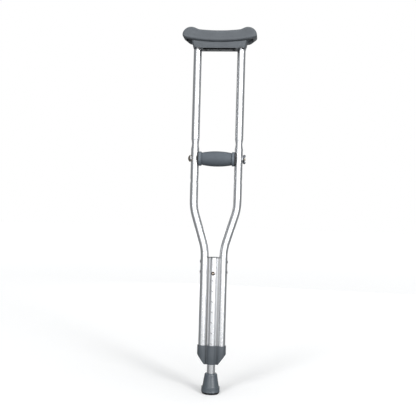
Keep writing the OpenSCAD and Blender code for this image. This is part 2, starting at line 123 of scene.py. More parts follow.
paper_links.new(paper_reach.outputs["Value"], paper_share.inputs[0])
paper_links.new(paper_beyond.outputs[0], paper_share.inputs[1])
paper_links.new(paper_share.outputs[0], paper_glow.inputs[0])
paper_links.new(paper_glow.outputs[0], paper_shader.inputs["Emission Strength"])
floor.data.materials.append(paper)
floor.visible_glossy = False
floor.visible_diffuse = False

surround = bpy.data.worlds.new("surround")
surround.use_nodes = True
scene.world = surround
surround_nodes, surround_links = surround.node_tree.nodes, surround.node_tree.links
seen_white = surround_nodes.new("ShaderNodeBackground")
seen_white.inputs["Color"].default_value = (1, 1, 1, 1)
seen_white.inputs["Strength"].default_value = 1
dim_room = surround_nodes["Background"]
dim_room.inputs["Color"].default_value = (0.95, 0.98, 1, 1)
dim_room.inputs["Strength"].default_value = room_strength
ray_kind = surround_nodes.new("ShaderNodeLightPath")
either = surround_nodes.new("ShaderNodeMixShader")
surround_links.new(ray_kind.outputs["Is Camera Ray"], either.inputs["Fac"])
surround_links.new(dim_room.outputs["Background"], either.inputs[1])
surround_links.new(seen_white.outputs["Background"], either.inputs[2])
surround_links.new(either.outputs["Shader"], surround_nodes["World Output"].inputs["Surface"])

for box_name, box_place, box_aim, box_wide, box_tall, box_watts in [
    ("left_soft_box", (-1.3, -2.1, 0.95), (0, 0, 0.95), 1.3, 2.8, 8),
    ("right_soft_box", (1.75, -2.0, 0.95), (0, 0, 0.95), 2.2, 2.8, 22),
    ("middle_soft_box", (0.1, -2.7, 0.95), (0, 0, 0.95), 1.7, 2.8, 15),
    ("right_strip", (1.33, -1.87, 1.2), (0, 0, 1.2), 0.22, 2.3, 15),
    ("left_strip", (-0.58, -2.23, 1.2), (0, 0, 1.2), 0.2, 2.3, 5),
    ("back_soft_box", (0.3, 2.6, 0.95), (0, 0, 0.95), 1.5, 2.8, 8),
    ("overhead_soft_box", (0.3, -0.5, 3.0), (0, 0, 0), 2.6, 2.6, 30),
]:
    box_light = bpy.data.objects.new(box_name, bpy.data.lights.new(box_name, "AREA"))
    box_light.data.shape = "RECTANGLE"
    box_light.data.size, box_light.data.size_y = box_wide, box_tall
    box_light.data.energy = box_watts
    box_light.location = box_place
    box_light.rotation_euler = (Vector(box_aim) - Vector(box_place)).to_track_quat("-Z", "Y").to_euler()
    box_light.visible_camera = False
    scene.collection.objects.link(box_light)

for key_name, key_turn, key_watts in [("right_key", -49.5, 0.85), ("left_key", -115.5, 0.95)]:
    key = bpy.data.objects.new(key_name, bpy.data.lights.new(key_name, "SUN"))
    key.data.energy = key_watts
    key.data.angle = math.radians(15)
    key.rotation_euler = (math.radians(90 - key_rise), 0, math.radians(key_turn + 90))
    key.visible_glossy = False
    scene.collection.objects.link(key)

# ---- Uprights ----
# Two aluminium tubes, bent in towards the centre sleeve and rolled in at two waists beside the handgrip.
# They are drawn tube with a clear satin anodised skin, so fine lines run along them.
satin_light = (0.87, 0.88, 0.90, 1)
satin_dark = (0.80, 0.81, 0.83, 1)


def drawn_aluminium(name, along=14, around=1400, rough=(0.22, 0.28)):
    """Satin anodised tube: fine lines along Z, with soft cloudy changes in the skin."""
    metal, parts, links, shader, place = new_finish(name)
    stretch = parts.new("ShaderNodeMapping")
    stretch.inputs["Scale"].default_value = (around, around, along)
    lines = parts.new("ShaderNodeTexNoise")
    lines.inputs["Scale"].default_value = 1
    lines.inputs["Detail"].default_value = 3
    clouds = parts.new("ShaderNodeTexNoise")
    clouds.inputs["Scale"].default_value = 18
    clouds.inputs["Detail"].default_value = 2
    both = parts.new("ShaderNodeMix")
    both.inputs["Factor"].default_value = 0.4
    tone = parts.new("ShaderNodeValToRGB")
    tone.color_ramp.elements[0].position = 0.3
    tone.color_ramp.elements[0].color = satin_dark
    tone.color_ramp.elements[1].position = 0.7
    tone.color_ramp.elements[1].color = satin_light
    gloss = parts.new("ShaderNodeMapRange")
    gloss.inputs["To Min"].default_value = rough[0]
    gloss.inputs["To Max"].default_value = rough[1]
    relief = parts.new("ShaderNodeBump")
    relief.inputs["Strength"].default_value = 0.03
    relief.inputs["Distance"].default_value = 0.002 * mm
    links.new(place, stretch.inputs["Vector"])
    links.new(stretch.outputs["Vector"], lines.inputs["Vector"])
    links.new(place, clouds.inputs["Vector"])
    links.new(lines.outputs["Fac"], both.inputs["A"])
    links.new(clouds.outputs["Fac"], both.inputs["B"])
    links.new(both.outputs["Result"], tone.inputs["Fac"])
    links.new(both.outputs["Result"], gloss.inputs["Value"])
    links.new(lines.outputs["Fac"], relief.inputs["Height"])
    links.new(tone.outputs["Color"], shader.inputs["Base Color"])
    links.new(gloss.outputs["Result"], shader.inputs["Roughness"])
    links.new(relief.outputs["Normal"], shader.inputs["Normal"])
    shader.inputs["Metallic"].default_value = 1
    return metal


def dress(node, finish):
    """Gives a carried-over piece its finish."""
    for held in nodes[node].material_slots:
        held.material = finish


upright_metal = drawn_aluminium("satin_upright_tube")
dress("left_upright", upright_metal)
dress("right_upright", upright_metal)

# ---- Centre sleeve ----
# An extruded aluminium sleeve with a web on each side that fills the valleys beside the uprights.
# Painted shade darkens its sides and webs in the valleys beside the uprights, more on the left, and a thin
# band just below its saw-cut top end is darker. Seven dark slanted ticks down its front, at the pitch of its
# height holes, are painted shade for the shaded edges of those holes.
sleeve_r = 12.7 * mm
sleeve_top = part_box("centre_sleeve")[1].z


def painted_light_band(metal, axis, low, high, tone):
    """Scales a finish's colour to the given tone, as painted shade below 1 and painted highlight above 1,
    where an Object coordinate has passed from low to high.
    """
    parts, links = metal.node_tree.nodes, metal.node_tree.links
    skin = parts["Principled BSDF"].inputs["Base Color"]
    axes = parts.new("ShaderNodeSeparateXYZ")
    reach = parts.new("ShaderNodeMapRange")
    reach.inputs["From Min"].default_value = low
    reach.inputs["From Max"].default_value = high
    reach.inputs["To Min"].default_value = 1
    reach.inputs["To Max"].default_value = tone
    painted_scale = parts.new("ShaderNodeVectorMath")
    painted_scale.operation = "SCALE"
    links.new(parts.new("ShaderNodeTexCoord").outputs["Object"], axes.inputs[0])
    links.new(axes.outputs[axis], reach.inputs["Value"])
    links.new(skin.links[0].from_socket, painted_scale.inputs[0])
    links.new(reach.outputs["Result"], painted_scale.inputs["Scale"])
    links.new(painted_scale.outputs["Vector"], skin)


sleeve_metal = drawn_aluminium("satin_sleeve", along=10, around=1700, rough=(0.24, 0.32))
# Painted shade: the sleeve's sides and webs darken in the valleys beside the uprights, more on the left; a
# thin band just below the top end is also darker.
painted_light_band(sleeve_metal, "X", sleeve_r * 0.86, sleeve_r * 0.98, 0.48)
painted_light_band(sleeve_metal, "X", -sleeve_r * 0.86, -sleeve_r * 0.98, 0.28)
painted_light_band(sleeve_metal, "Z", sleeve_top - 3.2 * mm, sleeve_top - 2.2 * mm, 0.42)
dress("centre_sleeve", sleeve_metal)
top_hole_z = 328.5 * mm
hole_pitch = 28.6 * mm
tick_rise = 8.5 * mm
tick_long = 6 * mm
tick_wide = 1.5 * mm
tick_slant = math.radians(-38)
tick_across = -1.2 * mm
tick_sunk = 0.06 * mm


def hole_edge_shade_ink():
    """Dark speckled grey of the painted shade on the height holes' edges."""
    ink, parts, links, shader, place = new_finish("painted_hole_edge_shade")
    speckle = parts.new("ShaderNodeTexNoise")
    speckle.inputs["Scale"].default_value = 2500
    tone = parts.new("ShaderNodeValToRGB")
    tone.color_ramp.elements[0].color = (0.10, 0.105, 0.11, 1)
    tone.color_ramp.elements[1].color = (0.30, 0.31, 0.32, 1)
    links.new(place, speckle.inputs["Vector"])
    links.new(speckle.outputs["Fac"], tone.inputs["Fac"])
    links.new(tone.outputs["Color"], shader.inputs["Base Color"])
    shader.inputs["Roughness"].default_value = 0.6
    shader.inputs["Metallic"].default_value = 0.4
    return ink


def deselect():
    """Leaves edit mode with nothing selected."""
    if bpy.context.object and bpy.context.object.mode != "OBJECT":
        bpy.ops.object.mode_set(mode="OBJECT")
    bpy.ops.object.select_all(action="DESELECT")


def pick(piece):
    """Selects one piece and makes it the one that is worked on."""
    deselect()
    piece.select_set(True)
    bpy.context.view_layer.objects.active = piece


def settle(piece):
    """Puts a piece's place, turn and size into its mesh."""
    pick(piece)
    bpy.ops.object.transform_apply(location=True, rotation=True, scale=True)


def outward(piece):
    """Merges doubles and points every face outwards."""
    pick(piece)
    bpy.ops.object.mode_set(mode="EDIT")
    bpy.ops.mesh.select_all(action="SELECT")
    bpy.ops.mesh.remove_doubles(threshold=0.001 * mm)
    bpy.ops.mesh.normals_make_consistent(inside=False)
    bpy.ops.object.mode_set(mode="OBJECT")


def smooth(piece, degrees):
    """Shades a piece smooth up to the given angle between faces."""
    pick(piece)
    bpy.ops.object.shade_smooth_by_angle(angle=math.radians(degrees))


def coat(piece, finish):
    """Gives a new piece one finish."""
    piece.data.materials.clear()
    piece.data.materials.append(finish)


def join(name, pieces):
    """Joins finished pieces into one."""
    deselect()
    for piece in pieces:
        piece.select_set(True)
    bpy.context.view_layer.objects.active = pieces[0]
    bpy.ops.object.join()
    joined = bpy.context.object
    joined.name = name
    return joined


# Painted shade: seven dark slanted ticks on the sleeve's front stand for the shaded edges of its height
# holes.
hole_shade_ink = hole_edge_shade_ink()
ticks = []
for hole in range(7):
    deselect()
    tick_z = top_hole_z + tick_rise - (hole + 1) * hole_pitch
    bpy.ops.mesh.primitive_cube_add(size=1, location=(0, 0, 0))
    tick = bpy.context.object
    tick.scale = (tick_long, 0.2 * mm, tick_wide)
    settle(tick)
    bpy.ops.object.mode_set(mode="EDIT")
    bpy.ops.mesh.select_all(action="SELECT")
    bpy.ops.mesh.subdivide(number_cuts=5)
    bpy.ops.object.mode_set(mode="OBJECT")
    tick.rotation_euler = (0, -tick_slant, 0)
    settle(tick)
    for corner in tick.data.vertices:
        across = tick_across + corner.co.x
        out = sleeve_r - tick_sunk - corner.co.y
        around = across / sleeve_r
        corner.co = (out * math.sin(around), -out * math.cos(around), tick_z + corner.co.z)
    ticks.append(tick)
painted_hole_shade_ticks = join("painted_hole_edge_shades", ticks)
outward(painted_hole_shade_ticks)
coat(painted_hole_shade_ticks, hole_shade_ink)
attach(painted_hole_shade_ticks, "frame")

# ---- Side rivets ----
# Four aluminium blind rivets hold the uprights to the sleeve's webs. Each has a low domed head with
# the sunk end of its mandrel in the middle.
rivet_r = 2.4 * mm
rivet_head_r = 3.84 * mm
rivet_levels = (360.0 * mm, 332.0 * mm)


def turned(name, profile, around=96):
    """A solid turned about Z through its (height, radius) points, closed at both ends."""
    deselect()
    low_z, low_r = profile[0]
    bpy.ops.mesh.primitive_circle_add(vertices=around, radius=low_r, fill_type="NGON", location=(0, 0, low_z))
    made = bpy.context.object
    settle(made)
    bpy.ops.object.mode_set(mode="EDIT")
    bpy.ops.mesh.select_all(action="SELECT")
    for z, r in profile[1:]:
        bpy.ops.mesh.extrude_region_move(TRANSFORM_OT_translate={"value": (0, 0, z - low_z)})
        if abs(r - low_r) > 1e-9:
            bpy.ops.transform.resize(value=(r / low_r, r / low_r, 1), center_override=(0, 0, z))
        low_z, low_r = z, r
    bpy.ops.object.mode_set(mode="OBJECT")
    made.name = name
    outward(made)
    return made


def lay_along_x(piece, place=(0, 0, 0), flip=False):
    """Lays a piece that was turned about Z along +X, or along -X."""
    piece.rotation_euler = (0, math.radians(-90 if flip else 90), 0)
    piece.location = place
    settle(piece)


def arc(centre_z, centre_r, radius, start, end, steps):
    """(height, radius) points on an arc, angles in degrees from the outward direction towards +Z."""
    points = []
    for step in range(steps + 1):
        turn = math.radians(start + (end - start) * step / steps)
        points.append((centre_z + radius * math.sin(turn), centre_r + radius * math.cos(turn)))
    return points


def plated(name, light, dark, rough=(0.22, 0.4), grain=700):
    """Plated or mill-finish metal: uneven tone, fine scratches and a soft gloss."""
    metal, parts, links, shader, place = new_finish(name)
    cloud = parts.new("ShaderNodeTexNoise")
    cloud.inputs["Scale"].default_value = grain / 4
    cloud.inputs["Detail"].default_value = 5
    tone = parts.new("ShaderNodeValToRGB")
    tone.color_ramp.elements[0].position = 0.35
    tone.color_ramp.elements[0].color = (*dark, 1)
    tone.color_ramp.elements[1].position = 0.65
    tone.color_ramp.elements[1].color = (*light, 1)
    scratch = parts.new("ShaderNodeTexNoise")
    scratch.inputs["Scale"].default_value = grain * 3
    scratch.inputs["Detail"].default_value = 2
    gloss = parts.new("ShaderNodeMapRange")
    gloss.inputs["To Min"].default_value = rough[0]
    gloss.inputs["To Max"].default_value = rough[1]
    relief = parts.new("ShaderNodeBump")
    relief.inputs["Strength"].default_value = 0.15
    relief.inputs["Distance"].default_value = 0.03 * mm
    links.new(place, cloud.inputs["Vector"])
    links.new(place, scratch.inputs["Vector"])
    links.new(cloud.outputs["Fac"], tone.inputs["Fac"])
    links.new(cloud.outputs["Fac"], gloss.inputs["Value"])
    links.new(scratch.outputs["Fac"], relief.inputs["Height"])
    links.new(tone.outputs["Color"], shader.inputs["Base Color"])
    links.new(gloss.outputs["Result"], shader.inputs["Roughness"])
    links.new(relief.outputs["Normal"], shader.inputs["Normal"])
    shader.inputs["Metallic"].default_value = 1
    return metal


rivet_profile = [(-6.5 * mm, rivet_r), (0, rivet_r), (0.01 * mm, rivet_head_r)]
rivet_profile += [(0.5 * mm, rivet_head_r * 0.99), (0.95 * mm, rivet_head_r * 0.9)]
rivet_profile += [(1.3 * mm, rivet_head_r * 0.74), (1.5 * mm, rivet_head_r * 0.55)]
rivet_profile += [(1.52 * mm, rivet_head_r * 0.38), (1.3 * mm, rivet_head_r * 0.33)]
rivet_profile += [(0.7 * mm, rivet_head_r * 0.31), (0.75 * mm, rivet_head_r * 0.27)]
rivet_profile += [(0.95 * mm, rivet_head_r * 0.12)]
foot_x = 25.85 * mm
tube_r = 11.1 * mm
rivets = []
for side in (-1, 1):
    for level in rivet_levels:
        rivet = turned("rivet", rivet_profile, around=40)
        lay_along_x(rivet, (side * (foot_x + tube_r), 0, level), flip=side < 0)
        rivets.append(rivet)
blind_rivets = join("blind_rivets", rivets)
smooth(blind_rivets, 40)
coat(blind_rivets, plated("rivet_aluminium", (0.46, 0.47, 0.49), (0.30, 0.31, 0.33)))
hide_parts("sleeve_rivets")
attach(blind_rivets, "frame")

# ---- Bottom cap ----
# One moulded cap of grey polypropylene with three lobes closes the ends of the uprights and of the sleeve.
# Its lower corners slant in, the mould rounds its edges, and its skin is finely spark-grained. The grooves
# between its lobes are darkened with painted shade, wider on the left.
cap_edge_r = 1.1 * mm


def moulded_plastic(name, light, dark, grain=2600, depth=0.05, rough=(0.42, 0.56)):
    """Moulded plastic with a fine spark-eroded grain and soft flow clouds."""
    plastic, parts, links, shader, place = new_finish(name)
    flow = parts.new("ShaderNodeTexNoise")
    flow.inputs["Scale"].default_value = 45
    flow.inputs["Detail"].default_value = 4
    tone = parts.new("ShaderNodeValToRGB")
    tone.color_ramp.elements[0].position = 0.3
    tone.color_ramp.elements[0].color = (*dark, 1)
    tone.color_ramp.elements[1].position = 0.7
    tone.color_ramp.elements[1].color = (*light, 1)
    spark = parts.new("ShaderNodeTexNoise")
    spark.inputs["Scale"].default_value = grain
    spark.inputs["Detail"].default_value = 2
    gloss = parts.new("ShaderNodeMapRange")
    gloss.inputs["To Min"].default_value = rough[0]
    gloss.inputs["To Max"].default_value = rough[1]
    relief = parts.new("ShaderNodeBump")
    relief.inputs["Strength"].default_value = 0.35
    relief.inputs["Distance"].default_value = depth * mm
    links.new(place, flow.inputs["Vector"])
    links.new(place, spark.inputs["Vector"])
    links.new(flow.outputs["Fac"], tone.inputs["Fac"])
    links.new(spark.outputs["Fac"], gloss.inputs["Value"])
    links.new(spark.outputs["Fac"], relief.inputs["Height"])
    links.new(tone.outputs["Color"], shader.inputs["Base Color"])
    links.new(gloss.outputs["Result"], shader.inputs["Roughness"])
    links.new(relief.outputs["Normal"], shader.inputs["Normal"])
    return plastic


def eased_copy(name, node, edge_r, degrees=30):
    """A copy of a carried-over piece whose loose triangles are merged and whose edges are eased."""
    made = bpy.data.objects.new(name, nodes[node].data.copy())
    scene.collection.objects.link(made)
    pick(made)
    bpy.ops.object.mode_set(mode="EDIT")
    bpy.ops.mesh.select_all(action="SELECT")
    bpy.ops.mesh.remove_doubles(threshold=0.002 * mm)
    bpy.ops.mesh.dissolve_limited(angle_limit=math.radians(0.5))
    bpy.ops.object.mode_set(mode="OBJECT")
    ease = made.modifiers.new("eased_edges", "BEVEL")
    ease.width = edge_r
    ease.segments = 3
    ease.limit_method = "ANGLE"
    ease.angle_limit = math.radians(degrees)
    ease.use_clamp_overlap = True
    bpy.ops.object.modifier_apply(modifier=ease.name)
    smooth(made, 35)
    return made


cap_plastic = moulded_plastic("cap_grey_plastic", (0.076, 0.087, 0.099), (0.063, 0.073, 0.084))
cap_nodes, cap_links = cap_plastic.node_tree.nodes, cap_plastic.node_tree.links
cap_shader = cap_nodes["Principled BSDF"]
cap_skin = cap_shader.inputs["Base Color"].links[0].from_socket
cap_axes = cap_nodes.new("ShaderNodeSeparateXYZ")
cap_links.new(cap_nodes.new("ShaderNodeTexCoord").outputs["Object"], cap_axes.inputs[0])
# Painted shade in the grooves between the lobes: a wide dark band at the left groove and a narrow one at the
# right.
for groove_x, groove_half in ((-14.4 * mm, 2.3 * mm), (14.4 * mm, 1.1 * mm)):
    groove_off = cap_nodes.new("ShaderNodeMath")
    groove_off.operation = "SUBTRACT"
    groove_off.inputs[1].default_value = groove_x
    groove_side = cap_nodes.new("ShaderNodeMath")
    groove_side.operation = "ABSOLUTE"
    groove_tone = cap_nodes.new("ShaderNodeMapRange")
    groove_tone.interpolation_type = "SMOOTHSTEP"
    groove_tone.inputs["From Min"].default_value = groove_half * 0.3
    groove_tone.inputs["From Max"].default_value = groove_half
    groove_tone.inputs["To Min"].default_value = 0.35
    groove_tone.inputs["To Max"].default_value = 1
    groove_shaded = cap_nodes.new("ShaderNodeVectorMath")
    groove_shaded.operation = "SCALE"
    cap_links.new(cap_axes.outputs["X"], groove_off.inputs[0])
    cap_links.new(groove_off.outputs[0], groove_side.inputs[0])
    cap_links.new(groove_side.outputs[0], groove_tone.inputs["Value"])
    cap_links.new(groove_tone.outputs["Result"], groove_shaded.inputs["Scale"])
    cap_links.new(cap_skin, groove_shaded.inputs[0])
    cap_skin = groove_shaded.outputs["Vector"]
cap_links.new(cap_skin, cap_shader.inputs["Base Color"])
moulded_cap = eased_copy("moulded_bottom_cap", "bottom_cap", cap_edge_r)
coat(moulded_cap, cap_plastic)
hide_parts("bottom_cap")
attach(moulded_cap, "frame")

# ---- Pad saddle ----
# A moulded crosspiece of grey plastic. Its flared neck takes the uprights' tops in arched sockets, it is
# hollowed from below, and its core reaches up into the underarm pad. The faces inside the hollow are painted
# near-black as painted shade.
saddle_plastic = moulded_plastic("saddle_grey_plastic", (0.088, 0.099, 0.111), (0.076, 0.086, 0.097))
moulded_saddle = eased_copy("moulded_pad_saddle", "pad_saddle", 0.8 * mm)
coat(moulded_saddle, saddle_plastic)
# Painted shade: faces inside the hollow under the neck get a near-black finish for the deep shade in there.
hollow_shade_light, hollow_shade_dark = (0.012, 0.013, 0.014), (0.006, 0.007, 0.008)
hollow_shade_plastic = moulded_plastic("hollow_painted_shade", hollow_shade_light, hollow_shade_dark, rough=(0.85, 1))
hollow_shade_plastic.node_tree.nodes["Principled BSDF"].inputs["Specular IOR Level"].default_value = 0.1
moulded_saddle.data.materials.append(hollow_shade_plastic)
saddle_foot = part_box("pad_saddle")[0].z
for face in moulded_saddle.data.polygons:
    inside = abs(face.center.x) < 46 * mm and abs(face.center.y) < 20.3 * mm
    if inside and saddle_foot + 0.9 * mm < face.center.z < saddle_foot + 13 * mm:
        face.material_index = 1
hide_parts("pad_saddle")
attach(moulded_saddle, "frame")

# ---- Saddle screws ----
# Two zinc-plated pan-head screws with cross recesses. They go in from the back, through the sockets and
# into the uprights.
screw_profile = [(-20 * mm, 1.9 * mm), (0, 1.9 * mm), (0.01 * mm, 4.0 * mm), (0.9 * mm, 4.0 * mm)]
screw_profile += [(1.6 * mm, 3.7 * mm), (2.1 * mm, 3.0 * mm), (2.35 * mm, 1.8 * mm), (2.4 * mm, 0.8 * mm)]
screw_seat_y = 22.6 * mm
screw_z = 949.05 * mm
grip_x = 60 * mm


def cut(piece, cutter):
    """Cuts one closed shape out of another and throws the cutter away."""
    pick(piece)
    trim = piece.modifiers.new("cut", "BOOLEAN")
    trim.operation = "DIFFERENCE"
    trim.solver = "EXACT"
    trim.object = cutter
    bpy.ops.object.modifier_apply(modifier=trim.name)
    bpy.data.objects.remove(cutter)


def block(name, low, high):
    """A rough block between two corners, for cutting with."""
    deselect()
    middle = (Vector(low) + Vector(high)) / 2
    bpy.ops.mesh.primitive_cube_add(size=1, location=middle)
    made = bpy.context.object
    made.name = name
    made.scale = Vector(high) - Vector(low)
    settle(made)
    return made


screws = []
for side in (-1, 1):
    screw = turned("screw", screw_profile, around=48)
    for slot_x, slot_y in ((2.2 * mm, 0.45 * mm), (0.45 * mm, 2.2 * mm)):
        cut(screw, block("recess", (-slot_x, -slot_y, 1.2 * mm), (slot_x, slot_y, 3 * mm)))
    screw.rotation_euler = (math.radians(-90), 0, 0)
    screw.location = (side * grip_x, screw_seat_y, screw_z)
    settle(screw)
    screws.append(screw)
pan_screws = join("pan_head_screws", screws)
smooth(pan_screws, 35)
zinc = plated("zinc_plate", (0.66, 0.67, 0.68), (0.42, 0.43, 0.45))
coat(pan_screws, zinc)
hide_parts("saddle_screws")
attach(pan_screws, "frame")

# ---- Underarm pad ----
# A soft moulded cushion of grey foam rubber that is pushed down over the saddle's core. It dips in the
# middle, ends in two rounded horns with a pocket under each, and its skin has a fine leather-like grain.
horn_x, horn_z, horn_r = 76.3 * mm, 973.85 * mm, 25 * mm
curve_r = 500 * mm
dip_z, lip_z = 989.25 * mm, 959.05 * mm
blend = 1.6 * mm
pad_half_depth = 27 * mm
pad_round = 6 * mm


def meeting(circle_z, side):
    """Angle on the right horn's circle where it meets the long curve about the given height."""
    off_x, off_z = -horn_x, circle_z - horn_z
    span = math.hypot(off_x, off_z)
    turn = math.acos((span ** 2 + horn_r ** 2 - curve_r ** 2) / (2 * span * horn_r))
    return math.atan2(off_z, off_x) + side * turn


def top_height(x):
    """Height of the pad's top at x: the horn's round, blended softly into the long dip."""
    horn_top = horn_z + math.sqrt(max(0, horn_r ** 2 - (abs(x) - horn_x) ** 2))
    dip_top = dip_z + curve_r - math.sqrt(curve_r ** 2 - x ** 2)
    return dip_top + blend * math.log1p(math.exp((horn_top - dip_top) / blend))


lip_start = meeting(lip_z + curve_r, -1)
lip_half = horn_x + horn_r * math.cos(lip_start)
outline = []
for step in range(41):
    x = lip_half * (step / 20 - 1)
    outline.append((x, lip_z + curve_r - math.sqrt(curve_r ** 2 - x ** 2)))
for step in range(1, 25):
    turn = lip_start + (math.pi / 2 - lip_start) * step / 24
    outline.append((horn_x + horn_r * math.cos(turn), horn_z + horn_r * math.sin(turn)))
for step in range(1, 60):
    x = horn_x * (1 - step / 30)
    outline.append((x, top_height(x)))
for step in range(24, 0, -1):
    turn = lip_start + (math.pi / 2 - lip_start) * step / 24
    outline.append((-horn_x - horn_r * math.cos(turn), horn_z + horn_r * math.sin(turn)))
for softening in range(14):
    softer = list(outline)
    for i, (x, z) in enumerate(outline):
        before, after = outline[i - 1], outline[(i + 1) % len(outline)]
        if abs(x) > lip_half - 13 * mm and z < lip_z + 26 * mm:
            softer[i] = (x / 2 + (before[0] + after[0]) / 4, z / 2 + (before[1] + after[1]) / 4)
    outline = softer
deselect()
bpy.ops.mesh.primitive_circle_add(vertices=len(outline), radius=0.1, fill_type="NGON", location=(0, 0, 0))
pad = bpy.context.object
pad.name = "underarm_cushion"
for corner, (x, z) in zip(pad.data.vertices, outline):
    corner.co = (x, -pad_half_depth, z)
bpy.ops.object.mode_set(mode="EDIT")
bpy.ops.mesh.select_all(action="SELECT")
bpy.ops.mesh.extrude_region_move(TRANSFORM_OT_translate={"value": (0, 2 * pad_half_depth, 0)})
bpy.ops.object.mode_set(mode="OBJECT")
outward(pad)
ease = pad.modifiers.new("eased_edges", "BEVEL")
ease.width = pad_round
ease.segments = 5
ease.limit_method = "ANGLE"
ease.angle_limit = math.radians(60)
bpy.ops.object.modifier_apply(modifier=ease.name)
even = pad.modifiers.new("even_mesh", "REMESH")
even.mode = "VOXEL"
even.voxel_size = 1.5 * mm
bpy.ops.object.modifier_apply(modifier=even.name)
relax = pad.modifiers.new("relax", "SMOOTH")
relax.factor = 0.5
relax.iterations = 14
bpy.ops.object.modifier_apply(modifier=relax.name)
pad_lo = Vector((min(c.co[i] for c in pad.data.vertices) for i in range(3)))
pad_hi = Vector((max(c.co[i] for c in pad.data.vertices) for i in range(3)))
cad_lo, cad_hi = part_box("underarm_pad")
for corner in pad.data.vertices:
    for i in range(3):
        share = (corner.co[i] - pad_lo[i]) / (pad_hi[i] - pad_lo[i])
        corner.co[i] = cad_lo[i] + share * (cad_hi[i] - cad_lo[i])


def eased(value, low, high):
    """0 below low, 1 above high, and a smooth step between them."""
    share = min(1, max(0, (value - low) / (high - low)))
    return share * share * (3 - 2 * share)


for corner in pad.data.vertices:
    x, y, z = corner.co
    rise = z - lip_z - curve_r + math.sqrt(curve_r ** 2 - min(abs(x), 0.1) ** 2)
    hang = eased(-abs(x), -98 * mm, -80 * mm) * eased(y, -15 * mm, -5 * mm) * eased(-rise, -9 * mm, -1 * mm)
    hollow = eased(rise, 4 * mm, 9 * mm) * 1.3 * mm + eased(-abs(x), -86 * mm, -64 * mm) * 1.6 * mm
    corner.co.z -= 6 * mm * hang
    corner.co.y += hollow * eased(-y, 16 * mm, 25 * mm)
core_depth = 36.4 * mm
stem_half = 73.8 * mm
stem_low = (-stem_half, -core_depth / 2, lip_z - 12 * mm)
stem_high = (stem_half, core_depth / 2, lip_z + 14 * mm)
cut(pad, block("stem", stem_low, stem_high))
for side in (-1, 1):
    near, far = side * 77.2 * mm, side * 91.2 * mm
    pocket_low = (min(near, far), -15 * mm, lip_z - 4 * mm)
    pocket_high = (max(near, far), 13 * mm, lip_z + 21 * mm)
    cut(pad, block("pocket", pocket_low, pocket_high))
smooth(pad, 50)


def grained_rubber(name, light, dark, cell=420, depth=0.12, rough=(0.5, 0.66)):
    """Moulded foam rubber: a fine leather-like grain of cells and creases, with a dusty, uneven tone."""
    rubber, parts, links, shader, place = new_finish(name)
    dust = parts.new("ShaderNodeTexNoise")
    dust.inputs["Scale"].default_value = 30
    dust.inputs["Detail"].default_value = 6
    dust.inputs["Roughness"].default_value = 0.65
    tone = parts.new("ShaderNodeValToRGB")
    tone.color_ramp.elements[0].position = 0.3
    tone.color_ramp.elements[0].color = (*dark, 1)
    tone.color_ramp.elements[1].position = 0.7
    tone.color_ramp.elements[1].color = (*light, 1)
    cells = parts.new("ShaderNodeTexVoronoi")
    cells.feature = "DISTANCE_TO_EDGE"
    cells.inputs["Scale"].default_value = cell
    creases = parts.new("ShaderNodeMapRange")
    creases.inputs["From Max"].default_value = 0.12
    pores = parts.new("ShaderNodeTexNoise")
    pores.inputs["Scale"].default_value = cell * 5
    mixed = parts.new("ShaderNodeMix")
    mixed.inputs["Factor"].default_value = 0.35
    gloss = parts.new("ShaderNodeMapRange")
    gloss.inputs["To Min"].default_value = rough[0]
    gloss.inputs["To Max"].default_value = rough[1]
    relief = parts.new("ShaderNodeBump")
    relief.inputs["Strength"].default_value = 0.3
    relief.inputs["Distance"].default_value = depth * mm
    for texture in (dust, cells, pores):
        links.new(place, texture.inputs["Vector"])
    links.new(dust.outputs["Fac"], tone.inputs["Fac"])
    links.new(dust.outputs["Fac"], gloss.inputs["Value"])
    links.new(cells.outputs["Distance"], creases.inputs["Value"])
    links.new(creases.outputs["Result"], mixed.inputs["A"])
    links.new(pores.outputs["Fac"], mixed.inputs["B"])
    links.new(mixed.outputs["Result"], relief.inputs["Height"])
    links.new(tone.outputs["Color"], shader.inputs["Base Color"])
    links.new(gloss.outputs["Result"], shader.inputs["Roughness"])
    links.new(relief.outputs["Normal"], shader.inputs["Normal"])
    return rubber


coat(pad, grained_rubber("pad_foam_rubber", (0.096, 0.107, 0.119), (0.082, 0.092, 0.103)))
pad.data.materials.append(grained_rubber("pocket_shade_rubber", (0.020, 0.022, 0.024), (0.010, 0.011, 0.012)))
for face in pad.data.polygons:
    in_pocket = 77 * mm < abs(face.center.x) < 91.4 * mm and -15.2 * mm < face.center.y < 13.2 * mm
    if in_pocket and lip_z + 6 * mm < face.center.z < lip_z + 22 * mm:
        face.material_index = 1
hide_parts("underarm_pad")
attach(pad, "frame")

# ---- Handgrip ----
# A moulded sleeve of soft rubber with a swelling barrel between two rounded collars. It is slipped over
# a plastic tube, and its ends are hollowed to the uprights.
grip_z = 641.45 * mm
barrel_top_r, barrel_r, barrel_half = 21 * mm, 210.2 * mm, 38.2 * mm
collar_in, collar_out, collar_r, collar_round = 41.6 * mm, 49.8 * mm, 19.65 * mm, 2.2 * mm
neck_r = 17.5 * mm
tube_room_r = 11.35 * mm
grip_profile = [(-collar_out, collar_r - collar_round)]
grip_profile += arc(-collar_out + collar_round, collar_r - collar_round, collar_round, -80, 0, 5)
grip_profile += arc(-collar_in - collar_round, collar_r - collar_round, collar_round, 0, 70, 5)
grip_profile += [(-collar_in + 0.2 * mm, neck_r + 0.2 * mm), (-collar_in + 1.0 * mm, neck_r - 0.9 * mm)]
grip_profile += [(-barrel_half - 0.8 * mm, neck_r - 0.6 * mm)]
for step in range(33):
    z = barrel_half * (step / 16 - 1)
    grip_profile.append((z, barrel_top_r - barrel_r + math.sqrt(barrel_r ** 2 - z ** 2)))
grip_profile += [(-z, r) for z, r in reversed(grip_profile[:15])]
rubber_grip = turned("rubber_handgrip", grip_profile, around=96)
lay_along_x(rubber_grip, (0, 0, grip_z))
